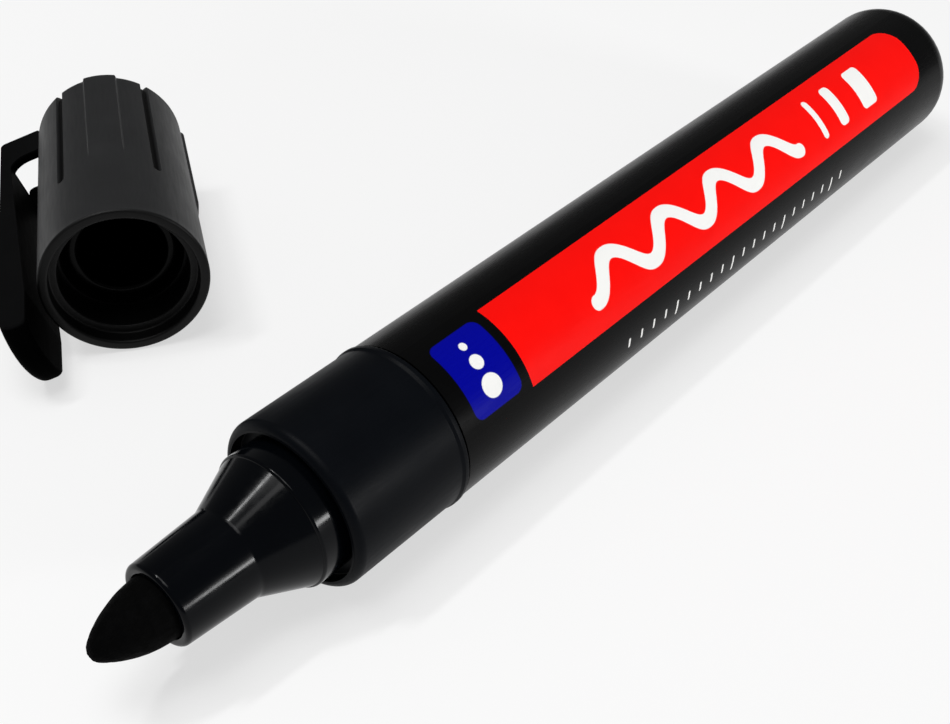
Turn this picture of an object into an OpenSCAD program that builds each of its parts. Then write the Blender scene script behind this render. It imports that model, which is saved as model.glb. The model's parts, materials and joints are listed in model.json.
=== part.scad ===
// Permanent marker with a bullet tip, lying on its side with the cap pulled off beside it.
// The marker lies along X with its tip towards -X. The origin is on its axis at the barrel's front edge.

/* [Barrel] */
// Outside diameter of the barrel and of the front collar
barrel_d = 16; // [15.8:0.1:16.6]
// Length of the barrel from its front edge to its rear end
barrel_length = 91.2; // [88:0.2:110]
// Wall thickness of the barrel
barrel_wall = 1.1; // [1:0.05:1.2]
// Rounding of the rear edge
rear_round = 3.6; // [2:0.1:4]
// Height of the shallow dome on the rear end
rear_crown = 0.6; // [0.3:0.1:1.2]

/* [Printed panel] */
// Start of the panel behind the barrel's front edge
panel_start = 9; // [6:0.5:14]
// End of the panel behind the barrel's front edge
panel_end = 82.6; // [60:0.2:83]
// Arc of the barrel that the panel covers, in degrees
panel_arc = 62; // [40:1:80]
// Direction of the panel's middle line, from the level side upwards
panel_direction = 128; // [0:1:359]
// Corner radius at the panel's rear end
panel_corner = 2.6; // [1:0.1:3]
// Thickness of the film that carries the panel
panel_film = 0.06; // [0.04:0.01:0.1]

/* [Front collar] */
// Length of the visible collar
collar_length = 13.3; // [12:0.1:16]
// Rounding of the collar's front edge
collar_edge = 0.85; // [0.5:0.05:0.9]
// Depth of the ring recess in the collar's front
recess_depth = 1.2; // [0.8:0.1:2]
// Length of the collar's plug inside the barrel
plug_length = 8; // [6:0.5:9]

/* [Nib holder] */
// Diameter of the flange that the cap grips
flange_d = 12.7; // [12.4:0.1:12.8]
// Distance of the flange's front face before the collar's front
flange_reach = 2.2; // [1.8:0.1:2.6]
// Length of the cone between flange and neck
cone_length = 4.5; // [3.5:0.1:6]
// Diameter of the neck where it leaves the cone
neck_rear_d = 8.3; // [8:0.1:8.5]
// Diameter of the neck at its front
neck_front_d = 7.5; // [7.2:0.1:7.8]
// Length of the neck
neck_length = 7.2; // [6:0.1:9]

/* [Nib] */
// Diameter of the nib in the neck
nib_d = 5.7; // [5.2:0.1:5.8]
// Radius of the curve that makes the bullet
nib_curve = 10; // [8:0.5:16]
// Radius of the blunt tip
nib_tip = 1.2; // [0.8:0.05:1.6]
// Diameter of the tail that reaches into the filler
tail_d = 4; // [3:0.1:4.2]

/* [Ink filler] */
// Diameter of the fibre rod
filler_d = 11.8; // [10:0.1:11.8]
// Distance of the rod's front face behind the barrel's front edge
filler_start = 4; // [3:0.5:6]
// Length of the fibre rod
filler_length = 79; // [60:1:79]
// Thickness of the film round the rod
film_wall = 0.13; // [0.1:0.01:0.2]

/* [Cap] */
// Length of the cap
cap_length = 29.4; // [29:0.1:34]
// Outside diameter at the mouth
cap_mouth_d = 16.7; // [16.4:0.1:17.4]
// Outside diameter at the closed end
cap_end_d = 15.7; // [15.2:0.02:16]
// Rounding of the closed end
cap_round = 1; // [0.8:0.1:2]
// Height of the raised ribs
rib_height = 0.35; // [0.15:0.05:0.5]
// Width of the raised ribs
rib_width = 3.5; // [2:0.1:3.6]
// Distance of the ribs' ends from the mouth
rib_start = 11.5; // [8:0.5:18]
// Width of the narrow grooves
groove_width = 0.75; // [0.4:0.05:1]
// Depth of the narrow grooves
groove_depth = 0.5; // [0.2:0.05:0.5]
// Distance of the grooves' ends from the mouth
groove_start = 9.5; // [8:0.5:18]

/* [Clip] */
// Width of the clip
clip_width = 7.4; // [6.6:0.1:7.8]
// Reach of the clip's outer face from the cap's axis
clip_reach = 11.6; // [11.2:0.1:12.4]
// Length of the clip past the cap's mouth
clip_overhang = 6.4; // [4:0.1:11]
// Thickness of the two cheeks that carry the clip
cheek_wall = 1; // [0.8:0.1:1.4]

/* [Position of the cap] */
// Middle of the cap's mouth along X
cap_x = -2.4; // [-10:0.1:20]
// Middle of the cap's mouth along Y
cap_y = 34.9; // [30:0.1:60]
// Direction in which the closed end points
cap_heading = 54.9; // [30:0.1:90]
// Angle by which the clip hangs below the cap's level side
clip_drop = 18; // [0:1:24]

/* [Hidden] */
$fn = 96;
tiny = 0.01;
through = 1;
barrel_r = barrel_d / 2;
bore_r = barrel_r - barrel_wall;
film_r = filler_d / 2 + film_wall;

// Inside of the barrel
end_wall = 1.6;
rib_fit = 0.06;
inner_rib = 1.2;
inner_ribs = 4;
filler_end = filler_start + filler_length;
rib_gap = 4;
rib_front = plug_length + rib_gap;
fin_r = 3;

// Printed panel
corner_steps = 8;

// Joint line between collar and barrel
seam_step = 0.22;
seam_length = 0.3;
bead_height = 0.15;
bead_length = 0.7;

// Collar and nib holder, measured forwards from the barrel's front edge
recess_floor = collar_length - recess_depth;
recess_r = 7.2;
stem_r = 5.15;
stem_fit = 0.03;
plug_fit = 0.02;
plug_bore = 6.16;
plug_roof = 2;
flange_front = collar_length + flange_reach;
flange_edge = 0.2;
cone_front = flange_front + cone_length;
neck_front = cone_front + neck_length;
lip = 0.35;
nib_fit = 0.06;
neck_bore_r = nib_d / 2 + nib_fit;
shoulder_offset = 0.6;
nib_shoulder = cone_front + shoulder_offset;
shoulder_gap = 0.1;

// Nib
nib_r = nib_d / 2;
nib_sink = 0.2;
nib_base = neck_front - nib_sink;
nib_tip_reach = sqrt(pow(nib_curve - nib_tip, 2) - pow(nib_curve - nib_r, 2));
nib_tip_start = nib_tip_reach * nib_curve / (nib_curve - nib_tip);
tail_r = tail_d / 2;
tail_fit = 0.1;
tail_bore_r = tail_r + tail_fit;
tail_depth = 5;
tail_end = -filler_start - tail_depth;
tail_point = 1.6;

// Cap, measured from its mouth towards the closed end
cap_mouth_r = cap_mouth_d / 2;
cap_end_r = cap_end_d / 2;
mouth_bore_r = 7.3;
mouth_depth = 1.6;
mouth_edge = 0.25;
grip_fit = 0.1;
grip_bore_r = flange_d / 2 + grip_fit;
grip_end = 5.2;
chamber_r = 6.2;
cap_end_wall = 1.6;
chamber_end = cap_length - cap_end_wall;
// Places of the cap's ribs and grooves, in degrees round it from the clip
rib_turns = [108, 212];
groove_turns = [72, 144, 252, 324];

// Sealing sleeve inside the cap
sleeve_start = 5.6;
sleeve_r = 5.5;
sleeve_bore_r = 4.4;
sleeve_floor = 2.2;
sleeve_flange = 2.5;
sleeve_edge = 0.3;

// Clip
clip_thick_root = 1.25;
clip_thick_tip = 2.8;
bridge_length = 4.3;
bridge_rise = 1.2;
bridge_start = cap_length - bridge_length + bridge_rise;
window_drop = 1.4;
plate_start = bridge_start - window_drop;
bridge_fillet = 1.8;
tip_round = 5.9;
tip_edge = 1.6;
tip_inner_edge = 0.6;
tip_middle = tip_round - clip_overhang;
inner_tip = clip_reach - clip_thick_tip;
pad_length = cap_length - bridge_start;
hinge_s = bridge_start + pad_length / 2;
hinge_rho = 8;
knuckle_r = 1.1;
knuckle_fit = 0.15;
pad_rho = 7.88;
pad_margin = 0.2;
pad_width = clip_width + 2 * pad_margin;
root_gap = 0.1;

// Turns a shape built upwards so that up points to the marker's tip
module towards_tip() {
  rotate([0, -90, 0])
    children();
}

// Lays a shape built mouth down, with the clip towards +X, where the loose cap lies
module where_cap_lies() {
  translate([cap_x, cap_y, cap_mouth_r - barrel_r])
    rotate([0, 0, cap_heading])
      rotate([0, 90, 0])
        rotate([0, 0, 90 - clip_drop])
          children();
}

module tube(outer, inner, from, to) {
  translate([0, 0, from])
    difference() {
      cylinder(r = outer, h = to - from);
      translate([0, 0, -through])
        cylinder(r = inner, h = to - from + 2 * through);
    }
}

// Half section of the barrel's outside
module barrel_section() {
  crown_r = barrel_r - rear_round;
  crown_sphere = (crown_r * crown_r + rear_crown * rear_crown) / (2 * rear_crown);
  rear_edge = barrel_length - rear_crown;
  translate([0, -(rear_edge - rear_round)])
    square([barrel_r, rear_edge - rear_round]);
  translate([0, -rear_edge])
    square([crown_r, rear_edge]);
  intersection() {
    translate([crown_r, -(rear_edge - rear_round)])
      circle(r = rear_round);
    translate([0, -rear_edge - tiny])
      square([barrel_r + tiny, rear_round + 2 * tiny]);
  }
  intersection() {
    translate([0, crown_sphere - barrel_length])
      circle(r = crown_sphere, $fn = 240);
    translate([0, -barrel_length - tiny])
      square([crown_r, rear_crown + 2 * tiny]);
  }
}

// The panel's outline, laid flat with the marker's front at the left
module panel_outline() {
  half = barrel_r * sin(panel_arc / 2);
  corner = [
    for (step = [0 : corner_steps])
      let (turn = 90 * step / corner_steps)
        [panel_end - panel_corner * (1 - sin(turn)), half - panel_corner * (1 - cos(turn))]
  ];
  upper = concat([[panel_start, half]], corner);
  lower = [for (at = [len(upper) - 1 : -1 : 0]) [upper[at][0], -upper[at][1]]];
  polygon(concat(upper, lower));
}

// The film as it lies in the barrel's surface, out to a given radius
module panel_body(outer) {
  intersection() {
    rotate([panel_direction - 90, 0, 0])
      translate([0, 0, through])
        linear_extrude(height = 2 * barrel_r)
          panel_outline();
    rotate([0, 90, 0])
      tube(outer, barrel_r - panel_film, panel_start - through, panel_end + through);
  }
}

module barrel() {
  inside = barrel_length - end_wall - rear_crown;
  color([0.07, 0.07, 0.08])
    difference() {
      towards_tip()
        rotate_extrude()
          barrel_section();
      rotate([0, 90, 0])
        difference() {
          translate([0, 0, -through])
            cylinder(r = bore_r, h = inside + through);
          for (turn = [0 : inner_ribs - 1])
            rotate([0, 0, turn * 360 / inner_ribs]) {
              translate([film_r + rib_fit, -inner_rib / 2, rib_front])
                cube([barrel_r, inner_rib, barrel_length]);
              translate([fin_r, -inner_rib / 2, filler_end + rib_fit])
                cube([barrel_r, inner_rib, barrel_length]);
            }
        }
      panel_body(barrel_r + through);
    }
}

module printed_panel() {
  color([0.9, 0.07, 0.06])
    panel_body(barrel_r);
}

module front_collar() {
  color([0.1, 0.1, 0.11])
    towards_tip()
      difference() {
        union() {
          rotate_extrude() {
            polygon([
              [0, 0], [barrel_r - seam_step, 0], [barrel_r + bead_height, seam_length],
              [barrel_r + bead_height, bead_length], [barrel_r, bead_length + 2 * bead_height],
              [barrel_r, collar_length - collar_edge], [0, collar_length - collar_edge]
            ]);
            square([barrel_r - collar_edge, collar_length]);
            intersection() {
              translate([barrel_r - collar_edge, collar_length - collar_edge])
                circle(r = collar_edge);
              square([barrel_r + tiny, collar_length + tiny]);
            }
          }
          translate([0, 0, -plug_length])
            cylinder(r = bore_r - plug_fit, h = plug_length + seam_length);
        }
        translate([0, 0, recess_floor])
          cylinder(r = recess_r, h = recess_depth + through);
        cylinder(r = stem_r + stem_fit, h = collar_length);
        translate([0, 0, -plug_length - through])
          cylinder(r = plug_bore, h = plug_length + plug_roof + through);
      }
}

module nib_holder() {
  flange_r = flange_d / 2;
  color([0.06, 0.06, 0.07])
    towards_tip()
      difference() {
        union() {
          cylinder(r = stem_r, h = recess_floor + tiny);
          rotate_extrude()
            polygon([
              [0, recess_floor], [flange_r, recess_floor], [flange_r, flange_front - flange_edge],
              [flange_r - flange_edge, flange_front], [neck_rear_d / 2, cone_front],
              [neck_front_d / 2, neck_front - lip], [neck_front_d / 2 - lip, neck_front], [0, neck_front]
            ]);
          translate([0, 0, neck_front - lip])
            rotate_extrude()
              translate([neck_front_d / 2 - lip, 0])
                intersection() {
                  circle(r = lip, $fn = 48);
                  square(lip);
                }
        }
        translate([0, 0, nib_shoulder - shoulder_gap])
          cylinder(r = neck_bore_r, h = neck_front);
        translate([0, 0, -through])
          cylinder(r = tail_bore_r, h = neck_front);
      }
}

module nib() {
  color([0.03, 0.03, 0.03])
    towards_tip() {
      rotate_extrude() {
        translate([0, nib_shoulder])
          square([nib_r, nib_base - nib_shoulder]);
        intersection() {
          translate([nib_r - nib_curve, nib_base])
            circle(r = nib_curve, $fn = 240);
          translate([0, nib_base - tiny])
            square([nib_r, nib_tip_start + tiny]);
        }
        intersection() {
          translate([0, nib_base + nib_tip_reach])
            circle(r = nib_tip);
          translate([0, nib_base + nib_tip_start - tiny])
            square(2 * nib_tip);
        }
      }
      translate([0, 0, tail_end])
        cylinder(r = tail_r, h = nib_shoulder - tail_end + tiny);
      translate([0, 0, tail_end - tail_point])
        cylinder(r1 = tail_r / 2, r2 = tail_r, h = tail_point + tiny);
    }
}

module ink_filler() {
  pocket = -tail_end - filler_start + tail_point + rib_fit;
  color([0.16, 0.16, 0.18])
    rotate([0, 90, 0])
      difference() {
        translate([0, 0, filler_start])
          cylinder(r = filler_d / 2, h = filler_length);
        translate([0, 0, filler_start - through])
          cylinder(r = tail_bore_r, h = pocket + through);
      }
}

module filler_film() {
  color([0.85, 0.85, 0.82])
    rotate([0, 90, 0])
      tube(film_r, filler_d / 2, filler_start, filler_end);
}

// Half section of the cap's outside, grown or shrunk by a margin
module cap_section(margin) {
  slope = (cap_mouth_r - cap_end_r) / cap_length;
  shoulder = cap_length - cap_round;
  shoulder_r = cap_mouth_r - slope * shoulder + margin;
  polygon([
    [0, 0], [cap_mouth_r + margin, 0], [shoulder_r, shoulder], [0, shoulder]
  ]);
  translate([0, shoulder - tiny])
    square([shoulder_r - cap_round, cap_round + tiny]);
  intersection() {
    translate([shoulder_r - cap_round, shoulder])
      circle(r = cap_round);
    translate([0, shoulder - tiny])
      square([shoulder_r, cap_round + 2 * tiny]);
  }
}

module cap_shell() {
  color([0.16, 0.16, 0.165])
    where_cap_lies()
      difference() {
        union() {
          rotate_extrude()
            cap_section(0);
          intersection() {
            rotate_extrude()
              cap_section(rib_height);
            for (turn = rib_turns)
              rotate([0, 0, turn])
                translate([cap_end_r / 2, -rib_width / 2, rib_start])
                  cube([cap_mouth_r, rib_width, cap_length - rib_start]);
          }
          translate([chamber_r, -pad_width / 2, bridge_start])
            cube([pad_rho - chamber_r, pad_width, pad_length]);
        }
        for (turn = groove_turns)
          rotate([0, 0, turn])
            difference() {
              translate([cap_end_r / 2, -groove_width / 2, groove_start])
                cube([cap_mouth_r, groove_width, cap_length]);
              rotate_extrude()
                cap_section(-groove_depth);
            }
        translate([0, 0, -through])
          cylinder(r = mouth_bore_r, h = mouth_depth + through);
        cylinder(r1 = mouth_bore_r + mouth_edge, r2 = mouth_bore_r, h = mouth_edge);
        cylinder(r = grip_bore_r, h = grip_end);
        cylinder(r = chamber_r, h = chamber_end);
        translate([hinge_rho, pad_width, hinge_s])
          rotate([90, 0, 0])
            cylinder(r = knuckle_r + knuckle_fit, h = 2 * pad_width);
      }
}

module cap_sealing_sleeve() {
  floor_top = chamber_end - sleeve_flange;
  color([0.1, 0.1, 0.105])
    where_cap_lies()
      difference() {
        union() {
          translate([0, 0, sleeve_start])
            cylinder(r = sleeve_r, h = chamber_end - sleeve_start);
          translate([0, 0, floor_top])
            cylinder(r = chamber_r, h = sleeve_flange);
        }
        translate([0, 0, sleeve_start - through])
          cylinder(r = sleeve_bore_r, h = floor_top - sleeve_floor - sleeve_start + through);
        translate([0, 0, sleeve_start])
          cylinder(r1 = sleeve_bore_r + sleeve_edge, r2 = sleeve_bore_r, h = sleeve_edge);
      }
}

// Side view of the clip behind its tip: across is outwards from the cap's axis, up is towards the closed end
module clip_profile() {
  top = bridge_start + bridge_length;
  inner_root = clip_reach - clip_thick_root;
  foot = hinge_rho + root_gap;
  difference() {
    polygon([
      [foot, bridge_start], [foot, top], [clip_reach, top], [clip_reach, tip_middle], [inner_tip, tip_middle],
      [inner_tip, tip_middle + tip_inner_edge], [inner_root, bridge_start - bridge_fillet],
      [inner_root - bridge_fillet, bridge_start - bridge_fillet], [inner_root - bridge_fillet, bridge_start]
    ]);
    translate([inner_root - bridge_fillet, bridge_start - bridge_fillet])
      circle(r = bridge_fillet);
  }
}

// Section of the clip's tip: across is the distance from the middle of its round, up is outwards
module tip_section() {
  flat = tip_round - tip_edge;
  inner_flat = tip_round - tip_inner_edge;
  polygon([
    [0, 0], [inner_flat, 0], [tip_round, tip_inner_edge], [tip_round, clip_thick_tip - tip_edge],
    [flat, clip_thick_tip], [0, clip_thick_tip]
  ]);
  translate([inner_flat, tip_inner_edge])
    circle(r = tip_inner_edge);
  translate([flat, clip_thick_tip - tip_edge])
    circle(r = tip_edge);
}

// Tip of the clip: a disc with round edges, cut to the clip's width
module clip_tip() {
  intersection() {
    translate([inner_tip, 0, tip_middle])
      rotate([0, 90, 0])
        rotate_extrude()
          tip_section();
    translate([0, -clip_width / 2, -clip_overhang - through])
      cube([2 * clip_reach, clip_width, tip_round + through + tiny]);
  }
}

module cap_clip() {
  color([0.14, 0.14, 0.145])
    where_cap_lies()
      difference() {
        union() {
          translate([0, clip_width / 2, 0])
            rotate([90, 0, 0])
              linear_extrude(height = clip_width)
                clip_profile();
          clip_tip();
          translate([hinge_rho, clip_width / 2, hinge_s])
            rotate([90, 0, 0])
              cylinder(r = knuckle_r, h = clip_width);
        }
        translate([0, -clip_width / 2 + cheek_wall, plate_start])
          cube([2 * clip_reach, clip_width - 2 * cheek_wall, cap_length]);
      }
}

barrel();
printed_panel();
front_collar();
nib_holder();
nib();
ink_filler();
filler_film();
cap_shell();
cap_sealing_sleeve();
cap_clip();
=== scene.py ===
"""Looks of a permanent marker that lies on a table beside its cap.

Sizes are in millimetres up to the point where a mesh is made.
The marker lies along X with its tip towards -X.
"""

import json
import math

import bmesh
import bpy
from mathutils import Matrix, Vector, noise


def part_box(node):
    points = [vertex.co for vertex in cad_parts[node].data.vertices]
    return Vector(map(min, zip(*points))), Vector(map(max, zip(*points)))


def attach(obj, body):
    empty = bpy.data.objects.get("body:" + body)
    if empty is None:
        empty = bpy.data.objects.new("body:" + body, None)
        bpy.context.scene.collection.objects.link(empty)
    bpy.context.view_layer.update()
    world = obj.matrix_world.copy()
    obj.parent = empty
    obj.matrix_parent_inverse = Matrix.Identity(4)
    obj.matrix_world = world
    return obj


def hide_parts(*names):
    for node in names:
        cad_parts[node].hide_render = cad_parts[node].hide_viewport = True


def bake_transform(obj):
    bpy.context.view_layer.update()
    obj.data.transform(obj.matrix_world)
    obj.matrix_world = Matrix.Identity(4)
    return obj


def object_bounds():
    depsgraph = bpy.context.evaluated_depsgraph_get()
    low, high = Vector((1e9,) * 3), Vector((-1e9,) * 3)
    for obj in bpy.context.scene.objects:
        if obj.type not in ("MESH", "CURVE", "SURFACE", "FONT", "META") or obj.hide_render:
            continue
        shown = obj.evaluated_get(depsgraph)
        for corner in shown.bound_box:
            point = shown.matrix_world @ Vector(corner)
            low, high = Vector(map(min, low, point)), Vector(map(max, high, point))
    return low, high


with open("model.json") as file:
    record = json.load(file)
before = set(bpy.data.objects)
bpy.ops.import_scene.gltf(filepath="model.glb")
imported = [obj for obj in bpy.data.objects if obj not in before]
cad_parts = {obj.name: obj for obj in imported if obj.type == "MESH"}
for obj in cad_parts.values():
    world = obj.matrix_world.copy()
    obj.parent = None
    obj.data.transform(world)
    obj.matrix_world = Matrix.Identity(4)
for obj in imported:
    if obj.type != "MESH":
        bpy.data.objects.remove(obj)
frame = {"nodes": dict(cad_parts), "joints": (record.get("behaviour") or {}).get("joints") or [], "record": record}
cad_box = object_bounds()

MM = 0.001
JOINTS = {joint["name"]: joint for joint in frame["joints"]}
MOUNTS = {mount["name"]: mount for mount in frame["record"]["mounts"]}

# A length too small to see, in millimetres
HAIR = 0.001

# Photograph's camera, with the picture's size and focal length in pixels
IMAGE_WIDTH = 950
FOCAL_PIXELS = 1391
CAMERA_AT = Vector((-64.78, -63.87, 80.59))
CAMERA_HEADING = math.radians(40.53)
CAMERA_TILT = math.radians(38.95)
CAMERA_ROLL = math.radians(-0.13)

# Marker's sizes, read from the solids
BARREL_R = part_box("barrel")[1].z / MM
COLLAR_FRONT = -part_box("front_collar")[0].x / MM
PLUG_END = -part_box("front_collar")[1].x / MM
BEAD_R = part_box("front_collar")[1].z / MM
FLANGE_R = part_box("nib_holder")[1].z / MM
NECK_FRONT = -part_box("nib_holder")[0].x / MM
NIB_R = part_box("nib")[1].z / MM
NIB_TAIL = -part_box("nib")[1].x / MM
PANEL_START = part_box("printed_panel")[0].x / MM
PANEL_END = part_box("printed_panel")[1].x / MM

# Collar and nib holder, measured forwards from the joint line
SEAM_R = BARREL_R - 0.22
BEAD_START = 0.3
BEAD_END = 0.7
BEAD_FOOT = 1.0
COLLAR_EDGE = 0.85
RECESS_R = 7.2
RECESS_FLOOR = COLLAR_FRONT - 1.2
STEM_R = 5.15
STEM_BORE_R = 5.18
PLUG_R = 6.88
PLUG_BORE_R = 6.16
PLUG_ROOF = 2.0
FLANGE_FRONT = COLLAR_FRONT + 2.2
FLANGE_EDGE = 0.28
FLANGE_LIP = 0.2
CONE_FRONT = FLANGE_FRONT + 4.5
CONE_FILLET = 0.9
NECK_REAR_R = 4.15
NECK_FRONT_R = 3.75
NECK_EDGE = 0.42
NECK_BORE_R = NIB_R + 0.06
NIB_SHOULDER = CONE_FRONT + 0.6
NECK_FLOOR = NIB_SHOULDER - 0.1
TAIL_R = 2.0
TAIL_BORE_R = TAIL_R + 0.1
TAIL_POINT = 1.6

# Bullet of the nib
NIB_BASE = NECK_FRONT - 0.2
NIB_CURVE = 10.0
NIB_TIP_R = 1.2

# Cap, measured from its mouth towards the closed end
CAP_LENGTH = 29.4
CAP_MOUTH_R = 8.35
CAP_END_R = 7.85
CAP_ROUND = 1.0
CAP_SHOULDER = CAP_LENGTH - CAP_ROUND
CAP_TAPER = (CAP_MOUTH_R - CAP_END_R) / CAP_LENGTH
RIM_ROUND = 0.3
RIB_ANGLES = [math.radians(turn) for turn in (108, 212)]
RIB_HEIGHT = 0.35
RIB_WIDTH = 3.5
RIB_START = 11.5
RIB_EDGE = 0.3
RIB_FADE = 3.0
GROOVE_ANGLES = [math.radians(turn) for turn in (72, 144, 252, 324)]
GROOVE_WIDTH = 0.75
GROOVE_DEPTH = 0.5
GROOVE_START = 9.5
GROOVE_EDGE = 0.16
MOUTH_BORE_R = 7.3
MOUTH_DEPTH = 1.6
GRIP_BORE_R = MOUNTS["cap_mouth"]["dims"]["r_mm"]
GRIP_END = MOUTH_DEPTH + MOUNTS["cap_mouth"]["dims"]["length_mm"]
CHAMBER_R = 6.2
CHAMBER_END = CAP_LENGTH - 1.6
SLEEVE_START = 5.6
SLEEVE_R = 5.5
SLEEVE_BORE_R = MOUNTS["sleeve_bore"]["dims"]["r_mm"]
SLEEVE_FLANGE = CHAMBER_END - 2.5
SLEEVE_FLOOR = SLEEVE_FLANGE - 2.2
SLEEVE_FIT = 0.02

# Clip, measured like the cap and outwards from its axis
CLIP_HALF = 3.7
CLIP_REACH = 11.6
CLIP_TIP = -6.4
CLIP_ROOT_THICK = 1.25
CLIP_TIP_THICK = 2.8
CLIP_BEND = 1.6
CLIP_TOP = CAP_LENGTH + 1.2
CHEEK_WALL = 1.0
BRIDGE_START = CLIP_TOP - 4.3
WINDOW_START = BRIDGE_START - 1.4
BRIDGE_FILLET = 1.8
TIP_ROUND = 5.9
TIP_STEPS = 40
TIP_EDGE = 1.6
TIP_INNER_EDGE = 0.6
TIP_MARGIN = 0.02
TIP_MIDDLE = CLIP_TIP + TIP_ROUND
INNER_TIP = CLIP_REACH - CLIP_TIP_THICK
ROOT_RHO = 6.9
EDGE_ROUND = 0.16

# Print on the barrel, placed along it and round it from the print's middle line
PANEL_DIRECTION = math.radians(128)
PRINT_WHITE = (0.88, 0.88, 0.86, 1)
PATCH_BLUE = (0.001, 0.002, 0.28, 1)
PATCH_MIDDLE = 4.9
PATCH_HALF = (3.0, 3.9)
PATCH_CORNER = 0.9
DOTS = ((-2.3, 0.4), (-0.55, 0.7), (1.85, 1.1))
TICK_STEP = 2.0
TICK_LINE = 7.6
TICK_HALF = (0.13, 0.55)
LONG_TICK_STEP = 5 * TICK_STEP
LONG_TICK_LINE = 7.95
LONG_TICK_HALF = (0.13, 0.9)
TICK_CORNER = 0.12
TICKS_MIDDLE = 43
TICKS_HALF = (21.5, 3)

# White print on the panel: a wavy stroke, and bars as (distance from the panel's end, half width)
STROKE_START = PANEL_START + 11
STROKE_END = PANEL_START + 47
STROKE_HEIGHT = 1.65
STROKE_WAVE = 9
STROKE_WIDTH = 1.5
BARS = ((21.4, 0.45), (17.3, 0.85), (11.6, 1.5))
BAR_HALF = 2.45
BAR_CORNER = 0.6

# Studio, in metres; a lamp's heading and height are in degrees, and glow is how bright its face looks
FLOOR_HALF = 4.0
FLOOR_COLOUR = (0.95, 0.95, 0.95, 1)
FLOOR_WHITE_SHARE = 0.62
WORLD_COLOUR = (0.2, 0.2, 0.2, 1)
LAMPS = {
    "overhead_strip": {"heading": 140, "height": 65, "distance": 0.6, "size": (0.14, 0.03), "glow": 60},
    "overhead": {"heading": 180, "height": 80, "distance": 0.6, "size": (0.26, 0.42), "glow": 4.5},
    "overhead_faint": {"heading": 196, "height": 68, "distance": 0.6, "size": (0.26, 0.08), "glow": 4},
    "right_strip": {"heading": -74, "height": 9, "distance": 0.5, "size": (0.13, 0.05), "glow": 52},
}


class Axis:
    """A straight axis with two directions across it, on which round pieces are placed."""

    def __init__(self, start, along, first, second):
        self.start, self.along, self.first, self.second = start, along, first, second

    def at(self, along, radius, angle):
        """The point at a distance along the axis, at a radius and an angle round it."""
        across = self.first * math.cos(angle) + self.second * math.sin(angle)
        return self.start + self.along * along + across * radius

    def across(self, along, out, side):
        """The point at a distance along the axis, out along its first direction and to the side."""
        return self.start + self.along * along + self.first * out + self.second * side


def marker_axis():
    return Axis(Vector((0, 0, 0)), Vector((-1, 0, 0)), Vector((0, 1, 0)), Vector((0, 0, 1)))


def cap_axis():
    """The cap's axis from its mouth, with the first direction towards the clip."""
    along = Vector(JOINTS["cap_slide"]["axis"]).normalized()
    side = -Vector(JOINTS["clip_flex"]["axis"]).normalized()
    grip_middle = (MOUTH_DEPTH + GRIP_END) / 2
    mouth = Vector(MOUNTS["cap_mouth"]["pos_m"]) / MM - along * grip_middle
    return Axis(mouth, along, side.cross(along), side)


MARKER = marker_axis()
CAP = cap_axis()
CAP_HEADING = math.atan2(CAP.along.y, CAP.along.x)


def smooth_step(value, width):
    """Rises softly from 0 to 1 while value goes from half a width below zero to half a width above it."""
    t = min(max(value / width + 0.5, 0), 1)
    return t * t * (3 - 2 * t)


def rounded(corners, step=math.radians(12)):
    """A section's corners, each (along, radius, rounding), with every rounding drawn as an arc."""
    points = []
    for before, here, after in zip(corners[-1:] + corners[:-1], corners, corners[1:] + corners[:1]):
        corner = Vector(here[:2])
        rounding = here[2]
        if not rounding:
            points.append(corner)
            continue
        back = (Vector(before[:2]) - corner).normalized()
        on = (Vector(after[:2]) - corner).normalized()
        half = back.angle(on) / 2
        centre = corner + (back + on).normalized() * (rounding / math.sin(half))
        first = corner + back * (rounding / math.tan(half)) - centre
        last = corner + on * (rounding / math.tan(half)) - centre
        turn = first.angle(last)
        count = max(2, math.ceil(turn / step))
        for k in range(count + 1):
            share = k / count
            spoke = first * math.sin((1 - share) * turn) + last * math.sin(share * turn)
            points.append(centre + spoke / math.sin(turn))
    return points


def skin(rings, closed):
    """Vertices and faces over a row of rings. A ring of one point closes the skin there."""
    vertices = []
    faces = []
    starts = []
    for ring in rings:
        starts.append(len(vertices))
        vertices.extend(ring)
    pairs = [(row, row + 1) for row in range(len(rings) - 1)]
    if closed:
        pairs.append((len(rings) - 1, 0))
    for a, b in pairs:
        count = max(len(rings[a]), len(rings[b]))
        for i in range(count):
            j = (i + 1) % count
            if len(rings[a]) == 1:
                faces.append((starts[a], starts[b] + j, starts[b] + i))
            elif len(rings[b]) == 1:
                faces.append((starts[a] + i, starts[a] + j, starts[b]))
            else:
                faces.append((starts[a] + i, starts[a] + j, starts[b] + j, starts[b] + i))
    return vertices, faces


def ring_of(axis, along, radius, angles):
    """One ring round an axis, or its middle point where the radius is nothing.

    The radius may be a function of the angle.
    """
    if not callable(radius) and radius < 1e-6:
        return [axis.at(along, 0, 0)]
    size = radius if callable(radius) else lambda angle: radius
    return [axis.at(along, size(angle), angle) for angle in angles]


def even_angles(count):
    return [2 * math.pi * k / count for k in range(count)]


def turned(axis, section, closed, count=144):
    """Vertices and faces of a section turned round an axis."""
    angles = even_angles(count)
    return skin([ring_of(axis, along, radius, angles) for along, radius in section], closed)


def solid_of(name, vertices, faces):
    """A mesh object from vertices in millimetres and faces, with its faces turned outwards."""
    mesh = bpy.data.meshes.new(name)
    mesh.from_pydata([vertex * MM for vertex in vertices], [], faces)
    work = bmesh.new()
    work.from_mesh(mesh)
    bmesh.ops.recalc_face_normals(work, faces=work.faces)
    work.to_mesh(mesh)
    work.free()
    solid = bpy.data.objects.new(name, mesh)
    bpy.context.scene.collection.objects.link(solid)
    return solid


def smooth(mesh, angle=math.radians(38)):
    """Smooth shading that keeps edges sharper than an angle."""
    mesh.shade_smooth()
    mesh.set_sharp_from_angle(angle=angle)


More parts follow.
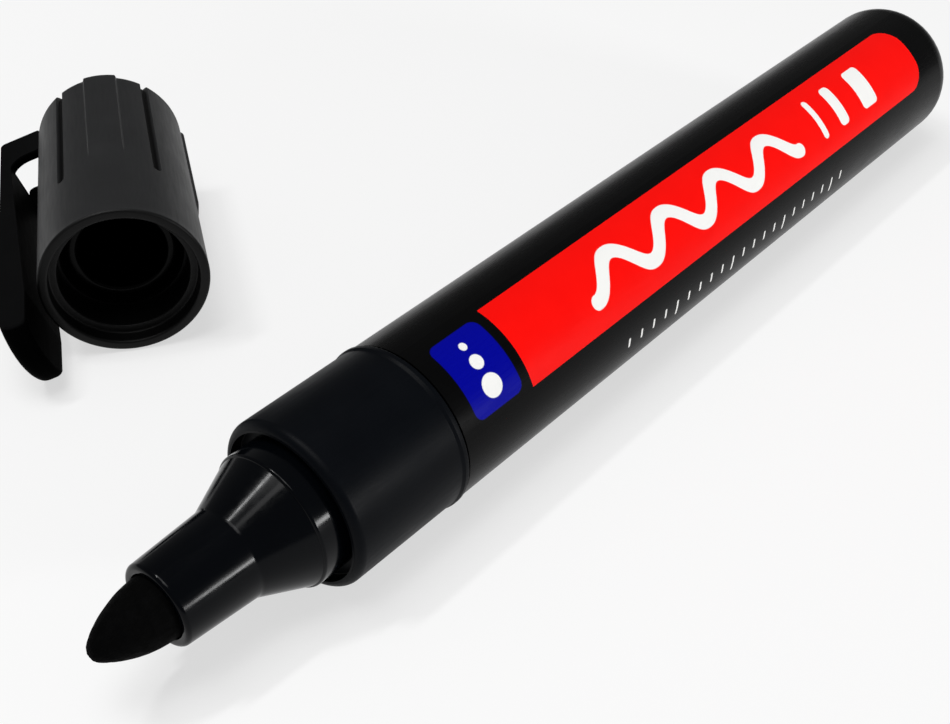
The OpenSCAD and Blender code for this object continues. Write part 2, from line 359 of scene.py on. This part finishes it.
def even_shading(piece):
    """Shading that follows the larger faces, so that small ones at an edge don't show."""
    weighted = piece.modifiers.new("even_shading", "WEIGHTED_NORMAL")
    weighted.keep_sharp = True


def piece_of(name, shape, material):
    """A smooth piece of one material from vertices in millimetres and faces."""
    piece = solid_of(name, *shape)
    piece.data.materials.append(material)
    smooth(piece.data)
    return piece


def stand_for(piece, node, body):
    """The piece takes a solid's place and rides on its body, with shading that follows its larger faces."""
    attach(piece, body)
    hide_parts(node)
    even_shading(piece)


class Paint:
    """A node material built by short calls. A value is a number, a colour or another node's output."""

    def __init__(self, name, heading=0.0):
        self.heading = heading
        self.material = bpy.data.materials.new(name)
        self.material.use_nodes = True
        self.nodes = self.material.node_tree.nodes
        self.links = self.material.node_tree.links
        self.shader = self.nodes["Principled BSDF"]
        self.place = self.nodes.new("ShaderNodeTexCoord").outputs["Object"]

    def put(self, socket, value):
        if isinstance(value, bpy.types.NodeSocket):
            self.links.new(value, socket)
        else:
            socket.default_value = value

    def set(self, **values):
        """Sets the shader's own sockets; an underscore stands for a space."""
        for name, value in values.items():
            self.put(self.shader.inputs[name.replace("_", " ")], value)

    def math(self, operation, first, second=0.0, third=0.0):
        node = self.nodes.new("ShaderNodeMath")
        node.operation = operation
        for socket, value in zip(node.inputs, (first, second, third)):
            self.put(socket, value)
        return node.outputs[0]

    def vector(self, operation, first, second, output):
        node = self.nodes.new("ShaderNodeVectorMath")
        node.operation = operation
        for socket, value in zip(node.inputs, (first, second)):
            self.put(socket, value)
        return node.outputs[output]

    def base(self):
        """The colour that the shader has so far."""
        return self.shader.inputs["Base Color"].links[0].from_socket

    def grain(self, size, detail=2.0, stretch=(1, 1, 1), rough=0.5):
        """Cloudy noise with lumps about size millimetres across, longer along the stretched axes."""
        mapping = self.nodes.new("ShaderNodeMapping")
        mapping.vector_type = "TEXTURE"
        mapping.inputs["Rotation"].default_value = (0, 0, self.heading)
        mapping.inputs["Scale"].default_value = [size * MM * share for share in stretch]
        self.put(mapping.inputs["Vector"], self.place)
        node = self.nodes.new("ShaderNodeTexNoise")
        node.inputs["Scale"].default_value = 1.0
        node.inputs["Detail"].default_value = detail
        node.inputs["Roughness"].default_value = rough
        self.put(node.inputs["Vector"], mapping.outputs[0])
        return node.outputs["Fac"]

    def between(self, share, low, high, start=0.25, end=0.75):
        """A number that goes from low to high while share goes from start to end."""
        node = self.nodes.new("ShaderNodeMapRange")
        self.put(node.inputs["Value"], share)
        self.put(node.inputs["From Min"], start)
        self.put(node.inputs["From Max"], end)
        self.put(node.inputs["To Min"], low)
        self.put(node.inputs["To Max"], high)
        return node.outputs[0]

    def mix(self, share, first, second):
        """A colour between two colours."""
        node = self.nodes.new("ShaderNodeMix")
        node.data_type = "RGBA"
        self.put(node.inputs["Factor"], share)
        self.put(node.inputs["A"], first)
        self.put(node.inputs["B"], second)
        return node.outputs["Result"]

    def bump(self, *layers):
        """Stacks bumps, each a height and its depth in millimetres, and gives them to the shader."""
        normal = None
        for height, depth in layers:
            node = self.nodes.new("ShaderNodeBump")
            node.inputs["Distance"].default_value = depth * MM
            self.put(node.inputs["Height"], height)
            if normal:
                self.put(node.inputs["Normal"], normal)
            normal = node.outputs[0]
        self.put(self.shader.inputs["Normal"], normal)


def grey(value, blue=1.06):
    """A near grey whose blue part is larger by a factor."""
    green = 1 + (blue - 1) / 3
    return (value, value * green, value * blue, 1)


def moulded(name, tone, rough, shine, texture, depth, heading=0.0, blue=1.06):
    """Black moulded plastic: cloudy tone and roughness, fine mould texture and a few faint rub marks.

    Texture is the size of the mould texture's grains and depth their height, in millimetres.
    """
    paint = Paint(name, heading)
    tone_spread = 0.25
    rough_spread = 0.03
    cloud = paint.grain(4.0, detail=4)
    rubs = paint.grain(0.35, detail=3, stretch=(9, 1, 1))
    darker = grey(tone * (1 - tone_spread), blue)
    paler = grey(tone * (1 + tone_spread), blue)
    marks = paint.between(rubs, -0.03, 0.05, 0.3, 0.75)
    clouds = paint.between(cloud, rough - rough_spread, rough + rough_spread)
    paint.set(Base_Color=paint.mix(cloud, darker, paler))
    paint.set(Roughness=paint.math("ADD", clouds, marks), Specular_IOR_Level=shine)
    paint.bump((paint.grain(texture, detail=3, rough=0.6), depth), (rubs, depth * 0.4))
    return paint


def barrel_places(paint):
    """Distance along the barrel and round it from the print's middle line, both in millimetres."""
    parts = paint.nodes.new("ShaderNodeSeparateXYZ")
    paint.put(parts.inputs[0], paint.place)
    x, y, z = parts.outputs
    cosine = math.cos(PANEL_DIRECTION)
    sine = math.sin(PANEL_DIRECTION)
    level = paint.math("ADD", paint.math("MULTIPLY", y, cosine), paint.math("MULTIPLY", z, sine))
    height = paint.math("SUBTRACT", paint.math("MULTIPLY", z, cosine), paint.math("MULTIPLY", y, sine))
    round_way = paint.math("MULTIPLY", paint.math("ARCTAN2", height, level), BARREL_R)
    return paint.math("DIVIDE", x, MM), round_way


def inside(paint, distance, soft=0.04):
    """1 where a distance in millimetres is negative, with a hair's soft edge."""
    return paint.between(distance, 1.0, 0.0, -soft, soft)


def block(paint, along, round_way, centre, half, corner):
    """Distance from a block with round corners."""
    sides = []
    for value, middle, reach in ((along, centre[0], half[0]), (round_way, centre[1], half[1])):
        offset = paint.math("ABSOLUTE", paint.math("SUBTRACT", value, middle))
        sides.append(paint.math("SUBTRACT", offset, reach - corner))
    outer = [paint.math("MAXIMUM", side, 0.0) for side in sides]
    length = paint.math("SQRT", paint.math("ADD", *[paint.math("MULTIPLY", side, side) for side in outer]))
    inner = paint.math("MINIMUM", paint.math("MAXIMUM", *sides), 0.0)
    return paint.math("SUBTRACT", paint.math("ADD", length, inner), corner)


def sample_stroke(paint, along, round_way):
    """Distance from the wavy stroke, which has an even width and round ends on its crests."""
    turning = 2 * math.pi / STROKE_WAVE
    held = paint.math("MINIMUM", paint.math("MAXIMUM", along, STROKE_START), STROKE_END)
    phase = paint.math("MULTIPLY", paint.math("SUBTRACT", held, STROKE_START), turning)
    middle = paint.math("MULTIPLY", paint.math("COSINE", phase), STROKE_HEIGHT)
    slope = paint.math("MULTIPLY", paint.math("SINE", phase), -STROKE_HEIGHT * turning)
    lean = paint.math("SQRT", paint.math("MULTIPLY_ADD", slope, slope, 1.0))
    off = paint.math("DIVIDE", paint.math("SUBTRACT", round_way, middle), lean)
    past = paint.math("SUBTRACT", along, held)
    square = paint.math("ADD", paint.math("MULTIPLY", off, off), paint.math("MULTIPLY", past, past))
    return paint.math("SUBTRACT", paint.math("SQRT", square), STROKE_WIDTH / 2)


def nearest(paint, distances):
    """The smallest of several distances."""
    result = distances[0]
    for distance in distances[1:]:
        result = paint.math("MINIMUM", result, distance)
    return result


def tick_row(paint, along, round_way):
    """A row of fine ticks, with every fifth of them longer."""
    kinds = ((TICK_STEP, TICK_LINE, TICK_HALF), (LONG_TICK_STEP, LONG_TICK_LINE, LONG_TICK_HALF))
    ticks = []
    for step, line, half in kinds:
        offset = paint.math("SUBTRACT", paint.math("FLOORED_MODULO", along, step), TICK_STEP / 2)
        ticks.append(block(paint, offset, round_way, (0, line), half, TICK_CORNER))
    span = block(paint, along, round_way, (TICKS_MIDDLE, TICK_LINE), TICKS_HALF, TICK_CORNER)
    return paint.math("MAXIMUM", nearest(paint, ticks), span)


def barrel_material():
    """Satin black with a blue patch of growing dots and a row of fine ticks printed on it."""
    paint = moulded("barrel_black", tone=0.0018, rough=0.27, shine=0.05, texture=0.25, depth=0.0012)
    along, round_way = barrel_places(paint)
    patch = inside(paint, block(paint, along, round_way, (PATCH_MIDDLE, 0), PATCH_HALF, PATCH_CORNER))
    white = [tick_row(paint, along, round_way)]
    for place, size in DOTS:
        white.append(block(paint, along, round_way, (PATCH_MIDDLE, place), (size, size), size - HAIR))
    colour = paint.mix(patch, paint.base(), PATCH_BLUE)
    paint.set(Base_Color=paint.mix(inside(paint, nearest(paint, white)), colour, PRINT_WHITE))
    return paint.material


def panel_material():
    """Red print with a white sample stroke and three bars of growing width."""
    paint = Paint("print_red")
    cloud = paint.grain(3.0, detail=4)
    red = paint.mix(cloud, (0.9, 0.003, 0.002, 1), (0.97, 0.005, 0.003, 1))
    along, round_way = barrel_places(paint)
    prints = [sample_stroke(paint, along, round_way)]
    for place, half in BARS:
        corner = min(half, BAR_CORNER) - HAIR
        prints.append(block(paint, along, round_way, (PANEL_END - place, 0), (half, BAR_HALF), corner))
    white = inside(paint, nearest(paint, prints))
    rubs = paint.grain(0.3, detail=3, stretch=(9, 1, 1))
    paint.set(Base_Color=paint.mix(white, red, PRINT_WHITE))
    paint.set(Roughness=paint.between(rubs, 0.3, 0.4, 0.3, 0.75), Specular_IOR_Level=0.06)
    paint.bump((white, 0.004), (rubs, 0.0008))
    return paint.material


def collar_material():
    """Matte black with a fine texture."""
    paint = moulded("collar_black", tone=0.0024, rough=0.4, shine=0.04, texture=0.16, depth=0.006, blue=1.8)
    return paint.material


def holder_material():
    """Glossy black."""
    paint = moulded("holder_black", tone=0.001, rough=0.15, shine=0.09, texture=0.5, depth=0.0012, blue=2.2)
    return paint.material


def sleeve_material():
    """Smooth soft plastic, with its tone painted dark for the shade down in the cap."""
    # Painted shade: the low tone stands for the shade deep inside the cap
    paint = moulded("sleeve_black", tone=0.0008, rough=0.25, shine=0.06, texture=0.3, depth=0.002,
                    heading=CAP_HEADING)
    return paint.material


def cap_places(paint):
    """Distances along the cap from its mouth, from its axis and to the side, in millimetres."""
    away = paint.vector("SUBTRACT", paint.place, CAP.start * MM, "Vector")
    along = paint.vector("DOT_PRODUCT", away, CAP.along, "Value")
    off_axis = paint.vector("CROSS_PRODUCT", away, CAP.along, "Vector")
    radius = paint.vector("LENGTH", off_axis, CAP.along, "Value")
    side = paint.vector("DOT_PRODUCT", away, CAP.second, "Value")
    return [paint.math("DIVIDE", distance, MM) for distance in (along, radius, side)]


def cap_material():
    """Matte grey-black outside, with painted shade in the bore, on the rim and down in the grooves."""
    paint = moulded("cap_black", tone=0.016, rough=0.48, shine=0.16, texture=0.14, depth=0.005,
                    heading=CAP_HEADING)
    along, radius, _ = cap_places(paint)
    # Painted shade: the bore, the grooves and the mouth's rim get a darker colour where shade falls on them
    level = paint.math("MULTIPLY_ADD", along, CAP_TAPER, radius)
    full_shade_level = CAP_MOUTH_R - 0.4
    shade_free_level = CAP_MOUTH_R - 0.12
    sunk = paint.between(level, 1.0, 0.0, full_shade_level, shade_free_level)
    before_end = paint.between(along, 1.0, 0.0, CAP_SHOULDER, CAP_SHOULDER + 0.5)
    shade_on_rim = paint.between(along, 1.0, 0.0, 0.1, RIM_ROUND)
    # The painted shade mask, mixed in below as a near-black colour
    dark = paint.math("MAXIMUM", paint.math("MULTIPLY", sunk, before_end), shade_on_rim)
    paint.set(Base_Color=paint.mix(dark, paint.base(), grey(0.0009)))
    return paint.material


def clip_material():
    """Black plastic, palest on the two side edges of the clip, with painted shade on all its other faces."""
    paint = moulded("clip_black", tone=0.0045, rough=0.55, shine=0.003, texture=0.14, depth=0.005,
                    heading=CAP_HEADING)
    # Painted shade: the faces between the side edges are coloured darker, for the shade on the plate's inner face
    # and tip
    side = paint.math("ABSOLUTE", cap_places(paint)[2])
    edge_start = CLIP_HALF - 0.3
    edge_end = CLIP_HALF - 0.1
    painted_shade_between_edges = paint.between(side, 1.0, 0.0, edge_start, edge_end)
    paint.set(Base_Color=paint.mix(painted_shade_between_edges, paint.base(), grey(0.0007)))
    return paint.material


def felt_material():
    """Pressed fibres soaked with black ink."""
    paint = Paint("nib_felt")
    fibres = paint.grain(0.12, detail=4, stretch=(7, 1, 1), rough=0.65)
    clumps = paint.grain(0.7, detail=3)
    paint.set(Base_Color=paint.mix(fibres, grey(0.0004), grey(0.002)))
    paint.set(Roughness=paint.between(clumps, 0.62, 0.9), Specular_IOR_Level=0.025)
    paint.bump((fibres, 0.035), (clumps, 0.03))
    return paint.material


def fibre_rod_material():
    """Bundle of drawn fibres, dark with ink."""
    paint = Paint("filler_fibre")
    fibres = paint.grain(0.15, detail=4, stretch=(20, 1, 1))
    paint.set(Base_Color=paint.mix(fibres, grey(0.01), grey(0.05)), Roughness=0.85)
    paint.bump((fibres, 0.03))
    return paint.material


def film_material():
    """Thin wrapped plastic film."""
    paint = Paint("film_clear")
    creases = paint.grain(1.5, detail=3, stretch=(4, 1, 1))
    paint.set(Base_Color=paint.mix(creases, (0.6, 0.6, 0.58, 1), (0.8, 0.8, 0.77, 1)))
    paint.set(Roughness=paint.between(creases, 0.2, 0.35))
    paint.bump((creases, 0.01))
    return paint.material


def make_collar(material):
    """The ring in front of the barrel, with its bead, its recess and its plug inside the barrel."""
    section = rounded([
        (0, SEAM_R, 0.05), (BEAD_START, BEAD_R, 0.12), (BEAD_END, BEAD_R, 0.12),
        (BEAD_FOOT, BARREL_R, 0.3), (COLLAR_FRONT, BARREL_R, COLLAR_EDGE), (COLLAR_FRONT, RECESS_R, 0.15),
        (RECESS_FLOOR, RECESS_R, 0.12), (RECESS_FLOOR, STEM_BORE_R, 0),
        (PLUG_ROOF, STEM_BORE_R, 0), (PLUG_ROOF, PLUG_BORE_R, 0),
        (PLUG_END, PLUG_BORE_R, 0.15), (PLUG_END, PLUG_R, 0.3), (0, PLUG_R, 0),
    ])
    collar = piece_of("collar", turned(MARKER, section, closed=True), material)
    stand_for(collar, "front_collar", "marker")


def make_nib_holder(material):
    """Stem, flange, cone and neck in one turned piece, bored for the nib and its tail."""
    section = rounded([
        (0, STEM_R, 0.1), (RECESS_FLOOR, STEM_R, 0), (RECESS_FLOOR, FLANGE_R, 0),
        (FLANGE_FRONT, FLANGE_R, FLANGE_EDGE), (FLANGE_FRONT, FLANGE_R - FLANGE_LIP, 0),
        (CONE_FRONT, NECK_REAR_R, CONE_FILLET),
        (NECK_FRONT, NECK_FRONT_R, NECK_EDGE), (NECK_FRONT, NECK_BORE_R, 0.2),
        (NECK_FLOOR, NECK_BORE_R, 0), (NECK_FLOOR, TAIL_BORE_R, 0), (0, TAIL_BORE_R, 0.1),
    ])
    holder = piece_of("nib_holder_moulding", turned(MARKER, section, closed=True), material)
    stand_for(holder, "nib_holder", "marker")


def make_nib(material):
    """The felt bullet with its tail, with fibres that stand up a little where it shows."""
    reach = math.sqrt((NIB_CURVE - NIB_TIP_R) ** 2 - (NIB_CURVE - NIB_R) ** 2)
    meet = math.asin(reach / (NIB_CURVE - NIB_TIP_R))
    section = [(NIB_TAIL - HAIR, 0), (NIB_TAIL, TAIL_R / 2), (NIB_TAIL + TAIL_POINT, TAIL_R),
               (NIB_SHOULDER, TAIL_R), (NIB_SHOULDER, NIB_R), (NIB_BASE - 2, NIB_R)]
    rows = 36
    for k in range(rows + 1):
        turn = meet * k / rows
        section.append((NIB_BASE + NIB_CURVE * math.sin(turn), NIB_R - NIB_CURVE * (1 - math.cos(turn))))
    tip_rows = 10
    for k in range(1, tip_rows + 1):
        turn = meet + (math.pi / 2 - meet) * k / tip_rows
        section.append((NIB_BASE + reach + NIB_TIP_R * math.sin(turn), NIB_TIP_R * math.cos(turn)))
    vertices, faces = turned(MARKER, section, closed=False, count=180)
    fibre_height = 0.05
    lump_rate = 0.9
    fibre_rate = 5
    sunk = 0.6
    for vertex in vertices:
        ahead = -vertex.x - NIB_BASE
        if ahead > 0:
            fuzz = noise.noise(Vector((vertex.x * lump_rate, vertex.y * fibre_rate, vertex.z * fibre_rate)))
            lumps = noise.noise(vertex * lump_rate)
            vertex *= 1 + fibre_height * (fuzz + lumps - sunk) * min(ahead, 1) / max(vertex.length, 1)
    nib = piece_of("felt_nib", (vertices, faces), material)
    stand_for(nib, "nib", "nib")


def make_sleeve(material):
    """The cup deep in the cap that seals on the cone, with a flange against the closed end."""
    flange_r = CHAMBER_R - SLEEVE_FIT
    end = CHAMBER_END - SLEEVE_FIT
    section = rounded([
        (SLEEVE_FLOOR, 0, 0), (SLEEVE_FLOOR, SLEEVE_BORE_R, 0.6), (SLEEVE_START, SLEEVE_BORE_R, 0.45),
        (SLEEVE_START, SLEEVE_R, 0.4), (SLEEVE_FLANGE, SLEEVE_R, 0.3), (SLEEVE_FLANGE, flange_r, 0.1),
        (end, flange_r, 0.1), (end, 0, 0),
    ])
    sleeve = piece_of("sealing_sleeve", turned(CAP, section, closed=False), material)
    stand_for(sleeve, "cap_sealing_sleeve", "cap")


def lateral(angle, centre, radius):
    """Distance round a circle from a centre angle."""
    offset = (angle - centre + math.pi) % (2 * math.pi) - math.pi
    return abs(offset) * radius


def cap_relief(along, angle, radius):
    """How far the cap's ribs stand out, less how deep its grooves are cut."""
    relief = 0.0
    rib_length = smooth_step(along - RIB_START - RIB_FADE / 4, RIB_FADE)
    for centre in RIB_ANGLES:
        within = smooth_step(RIB_WIDTH / 2 - lateral(angle, centre, radius), RIB_EDGE)
        relief += RIB_HEIGHT * rib_length * within
    for centre in GROOVE_ANGLES:
        before = max(GROOVE_START + GROOVE_WIDTH / 2 - along, 0)
        middle = math.hypot(lateral(angle, centre, radius), before)
        relief -= GROOVE_DEPTH * smooth_step(GROOVE_WIDTH / 2 - middle, GROOVE_EDGE)
    return relief


def cap_angles():
    """Angles round the cap, close together at the edges of ribs and grooves."""
    angles = {round(angle, 5) for angle in even_angles(120)}
    middle_r = (CAP_MOUTH_R + CAP_END_R) / 2
    fine = [RIB_EDGE * k / 6 for k in range(-4, 5)]
    for centre in RIB_ANGLES:
        for side in (-1, 1):
            angles.update(round(centre + side * (RIB_WIDTH / 2 + off) / middle_r, 5) for off in fine)
    half = GROOVE_WIDTH / 2 + GROOVE_EDGE
    for centre in GROOVE_ANGLES:
        angles.update(round(centre + half * k / 8 / middle_r, 5) for k in range(-8, 9))
    ordered = sorted(angles)
    following = ordered[1:] + [ordered[0] + 2 * math.pi]
    return [angle for angle, after in zip(ordered, following) if after - angle > 1e-3]


def spaced(start, step, count):
    """A set of stations at even steps."""
    return {round(start + step * k, 3) for k in range(count)}


def cap_rows():
    """Stations from the mouth to the shoulder, close together where ribs and grooves begin."""
    stations = spaced(start=0.35, step=0.9, count=32)
    stations |= spaced(start=GROOVE_START - 0.1, step=0.09, count=8)
    stations |= spaced(start=RIB_START - RIB_FADE / 2, step=0.25, count=16)
    smallest_gap = 0.05
    return sorted(station for station in stations if station < CAP_SHOULDER - smallest_gap) + [CAP_SHOULDER]


def make_cap_shell(material):
    """The ribbed cap: one skin from the middle of its closed end, down its outside and up its bore."""
    angles = cap_angles()

    def outside(along, drop=0.0):
        plain = CAP_MOUTH_R - CAP_TAPER * along
        return lambda angle: plain + cap_relief(along, angle, plain) - drop

    rings = [ring_of(CAP, CAP_LENGTH, 0, angles)]
    top_r = CAP_END_R - CAP_ROUND
    rings += [ring_of(CAP, CAP_LENGTH, top_r * share, angles) for share in (0.4, 0.7, 0.88)]
    edge_steps = 7
    for k in range(edge_steps):
        turn = math.pi / 2 * (1 - k / edge_steps)
        drop = CAP_ROUND * (1 - math.cos(turn))
        rise = CAP_ROUND * math.sin(turn)
        rings.append(ring_of(CAP, CAP_SHOULDER + rise, outside(CAP_SHOULDER, drop), angles))
    for along in reversed(cap_rows()):
        rings.append(ring_of(CAP, along, outside(along), angles))
    rim = rounded([
        (1.0, CAP_MOUTH_R, 0), (0, CAP_MOUTH_R, RIM_ROUND), (0, MOUTH_BORE_R, RIM_ROUND),
        (MOUTH_DEPTH, MOUTH_BORE_R, 0.2), (MOUTH_DEPTH, GRIP_BORE_R, 0.2), (GRIP_END, GRIP_BORE_R, 0),
        (GRIP_END, CHAMBER_R, 0), (CHAMBER_END, CHAMBER_R, 0.5), (CHAMBER_END, 0, 0),
    ])
    rings += [ring_of(CAP, along, radius, angles) for along, radius in rim[1:]]
    shell = piece_of("cap_moulding", skin(rings, closed=False), material)
    stand_for(shell, "cap_shell", "cap")


def prism(name, outline, place, depth):
    """A closed block: an outline of points laid by place and drawn through a depth to both sides."""
    count = len(outline)
    vertices = [place(point, side * depth) for side in (-1, 1) for point in outline]
    faces = [tuple(range(count)), tuple(range(2 * count - 1, count - 1, -1))]
    for here in range(count):
        after = (here + 1) % count
        faces.append((here, here + count, after + count, after))
    return solid_of(name, vertices, faces)


def tip_block():
    """A block round the clip that ends in its tip: half a disc with round edges."""
    outer = CLIP_REACH + TIP_MARGIN
    inner = INNER_TIP - TIP_MARGIN
    section = rounded([
        (2 * TIP_EDGE, outer, 0), (0, outer, TIP_EDGE), (0, inner, TIP_INNER_EDGE),
        (2 * TIP_INNER_EDGE, inner, 0), (2 * TIP_INNER_EDGE, 0, 0),
    ])
    end = CLIP_TOP + 1
    rings = [[CAP.across(end / 2, outer, 0)]]
    for inset, out in section:
        radius = TIP_ROUND - inset
        ring = [CAP.across(end, out, -radius), CAP.across(end, out, radius)]
        for step in range(TIP_STEPS + 1):
            angle = math.pi * (0.5 - step / TIP_STEPS)
            ring.append(CAP.across(TIP_MIDDLE - radius * math.cos(angle), out, radius * math.sin(angle)))
        rings.append(ring)
    rings.append([CAP.across(end / 2, 0, 0)])
    return skin(rings, closed=False)


def clip_side_view():
    """Outline of the clip from the side, as (along, out) points, with a square end past its tip."""
    inner_root = CLIP_REACH - CLIP_ROOT_THICK
    past_tip = CLIP_TIP - 1
    return rounded([
        (BRIDGE_START, ROOT_RHO, 0), (CLIP_TOP, ROOT_RHO, 0.3), (CLIP_TOP, CLIP_REACH, 0.6),
        (past_tip, CLIP_REACH, 0), (past_tip, INNER_TIP, 0), (TIP_MIDDLE + TIP_INNER_EDGE, INNER_TIP, 3),
        (BRIDGE_START - BRIDGE_FILLET, inner_root, 0), (BRIDGE_START, inner_root, BRIDGE_FILLET),
    ])


def window_block():
    """A block that cuts the window between the clip's cheeks."""
    gap = CLIP_HALF - CHEEK_WALL
    past_top = CLIP_TOP + 2

    def facing(point, out):
        along, side = point
        return CAP.across(along, CLIP_REACH + out, side)

    view = [(WINDOW_START, -gap), (WINDOW_START, gap), (past_top, gap), (past_top, -gap)]
    return prism("window_cut", view, facing, 2 * CLIP_REACH)


def cut_and_bevel(body, cutters):
    """Applies cutting blocks to a body, rounds its edges and takes the blocks away."""
    for operation, cutter in cutters.items():
        cut = body.modifiers.new(operation.lower(), "BOOLEAN")
        cut.object = cutter
        cut.operation = operation
        cut.solver = "EXACT"
    bevel = body.modifiers.new("edges", "BEVEL")
    bevel.width = EDGE_ROUND * MM
    bevel.segments = 3
    bevel.limit_method = "ANGLE"
    bevel.angle_limit = math.radians(35)
    bpy.context.view_layer.update()
    evaluated = body.evaluated_get(bpy.context.evaluated_depsgraph_get())
    mesh = bpy.data.meshes.new_from_object(evaluated)
    body.modifiers.clear()
    body.data = mesh
    for cutter in cutters.values():
        bpy.data.objects.remove(cutter)


def make_clip(material):
    """Pocket clip: a plate with a round tip on two cheeks that leave a window open at its root."""
    def sideways(point, side):
        along, out = point
        return CAP.across(along, out, side)

    body = prism("pocket_clip", clip_side_view(), sideways, CLIP_HALF)
    tip_cut = solid_of("tip_cut", *tip_block())
    cut_and_bevel(body, {"INTERSECT": tip_cut, "DIFFERENCE": window_block()})
    body.data.materials.clear()
    body.data.materials.append(material)
    smooth(body.data, math.radians(30))
    middle = (BRIDGE_START + CAP_LENGTH) / 2
    root = [CAP.across(middle, out, 0) * MM for out in (CAP_END_R, CAP_END_R + CLIP_BEND)]
    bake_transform(body)
    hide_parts("cap_clip")
    even_shading(body)


def dress_node(node, material):
    """Gives a solid that stays a material of its own."""
    mesh = frame["nodes"][node].data
    mesh.materials.clear()
    mesh.materials.append(material)


def dress():
    dress_node("barrel", barrel_material())
    dress_node("printed_panel", panel_material())
    dress_node("ink_filler", fibre_rod_material())
    dress_node("filler_film", film_material())
    make_collar(collar_material())
    make_nib_holder(holder_material())
    make_nib(felt_material())
    make_cap_shell(cap_material())
    make_sleeve(sleeve_material())
    make_clip(clip_material())


def make_camera():
    data = bpy.data.cameras.new("photo_camera")
    data.sensor_width = 36
    data.lens = FOCAL_PIXELS * data.sensor_width / IMAGE_WIDTH
    data.clip_start = 0.005
    data.clip_end = 20
    level = Vector((math.cos(CAMERA_HEADING), math.sin(CAMERA_HEADING), 0))
    forward = level * math.cos(CAMERA_TILT) - Vector((0, 0, math.sin(CAMERA_TILT)))
    right = forward.cross(Vector((0, 0, 1))).normalized()
    up = right.cross(forward)
    turn = Matrix.Rotation(CAMERA_ROLL, 3, forward)
    camera = bpy.data.objects.new("photo_camera", data)
    camera.matrix_world = Matrix.Translation(CAMERA_AT * MM) @ Matrix(
        (turn @ right, turn @ up, -forward)).transposed().to_4x4()
    bpy.context.scene.collection.objects.link(camera)
    bpy.context.scene.camera = camera


def soft_box(name, heading, height, distance, size, glow):
    """A rectangular lamp that looks at the middle of the object from a heading and a height, in degrees.

    Its first side runs as near to X as it can.
    """
    data = bpy.data.lights.new(name, "AREA")
    data.shape = "RECTANGLE"
    data.size, data.size_y = size
    data.energy = glow * math.pi * size[0] * size[1]
    lamp = bpy.data.objects.new(name, data)
    turn, rise = math.radians(heading), math.radians(height)
    away = Vector((math.cos(turn) * math.cos(rise), math.sin(turn) * math.cos(rise), math.sin(rise)))
    first = (Vector((1, 0, 0)) - away * away.x).normalized()
    middle = (Vector(cad_box[0]) + Vector(cad_box[1])) / 2
    lamp.matrix_world = Matrix.Translation(middle + away * distance) @ Matrix(
        (first, away.cross(first), away)).transposed().to_4x4()
    bpy.context.scene.collection.objects.link(lamp)


def seen_white(nodes, links, shading, share):
    """Mixes a shading with plain white where it is seen, also by reflection."""
    path = nodes.new("ShaderNodeLightPath")
    seen = path.outputs["Is Camera Ray"]
    for name in ("Is Glossy Ray", "Is Transmission Ray"):
        either = nodes.new("ShaderNodeMath")
        either.operation = "MAXIMUM"
        links.new(seen, either.inputs[0])
        links.new(path.outputs[name], either.inputs[1])
        seen = either.outputs[0]
    amount = nodes.new("ShaderNodeMath")
    amount.operation = "MULTIPLY"
    links.new(seen, amount.inputs[0])
    amount.inputs[1].default_value = share
    white = nodes.new("ShaderNodeEmission")
    mix = nodes.new("ShaderNodeMixShader")
    links.new(amount.outputs[0], mix.inputs[0])
    links.new(shading, mix.inputs[1])
    links.new(white.outputs[0], mix.inputs[2])
    return mix.outputs[0]


def make_floor():
    level = cad_box[0][2]
    corners = [(-1, -1), (1, -1), (1, 1), (-1, 1)]
    mesh = bpy.data.meshes.new("floor")
    mesh.from_pydata([(x * FLOOR_HALF, y * FLOOR_HALF, level) for x, y in corners], [], [(0, 1, 2, 3)])
    floor = bpy.data.objects.new("floor", mesh)
    bpy.context.scene.collection.objects.link(floor)
    material = bpy.data.materials.new("floor_white")
    material.use_nodes = True
    nodes, links = material.node_tree.nodes, material.node_tree.links
    shader = nodes["Principled BSDF"]
    shader.inputs["Base Color"].default_value = FLOOR_COLOUR
    shader.inputs["Roughness"].default_value = 0.7
    shader.inputs["Specular IOR Level"].default_value = 0.1
    surface = seen_white(nodes, links, shader.outputs[0], FLOOR_WHITE_SHARE)
    links.new(surface, nodes["Material Output"].inputs["Surface"])
    mesh.materials.append(material)


def make_world():
    world = bpy.data.worlds.new("studio")
    world.use_nodes = True
    world.node_tree.nodes["Background"].inputs["Color"].default_value = WORLD_COLOUR
    bpy.context.scene.world = world


def light():
    make_floor()
    make_world()
    for name, lamp in LAMPS.items():
        soft_box(name, **lamp)
    bpy.context.scene.view_settings.view_transform = "Standard"


make_camera()
dress()
light()
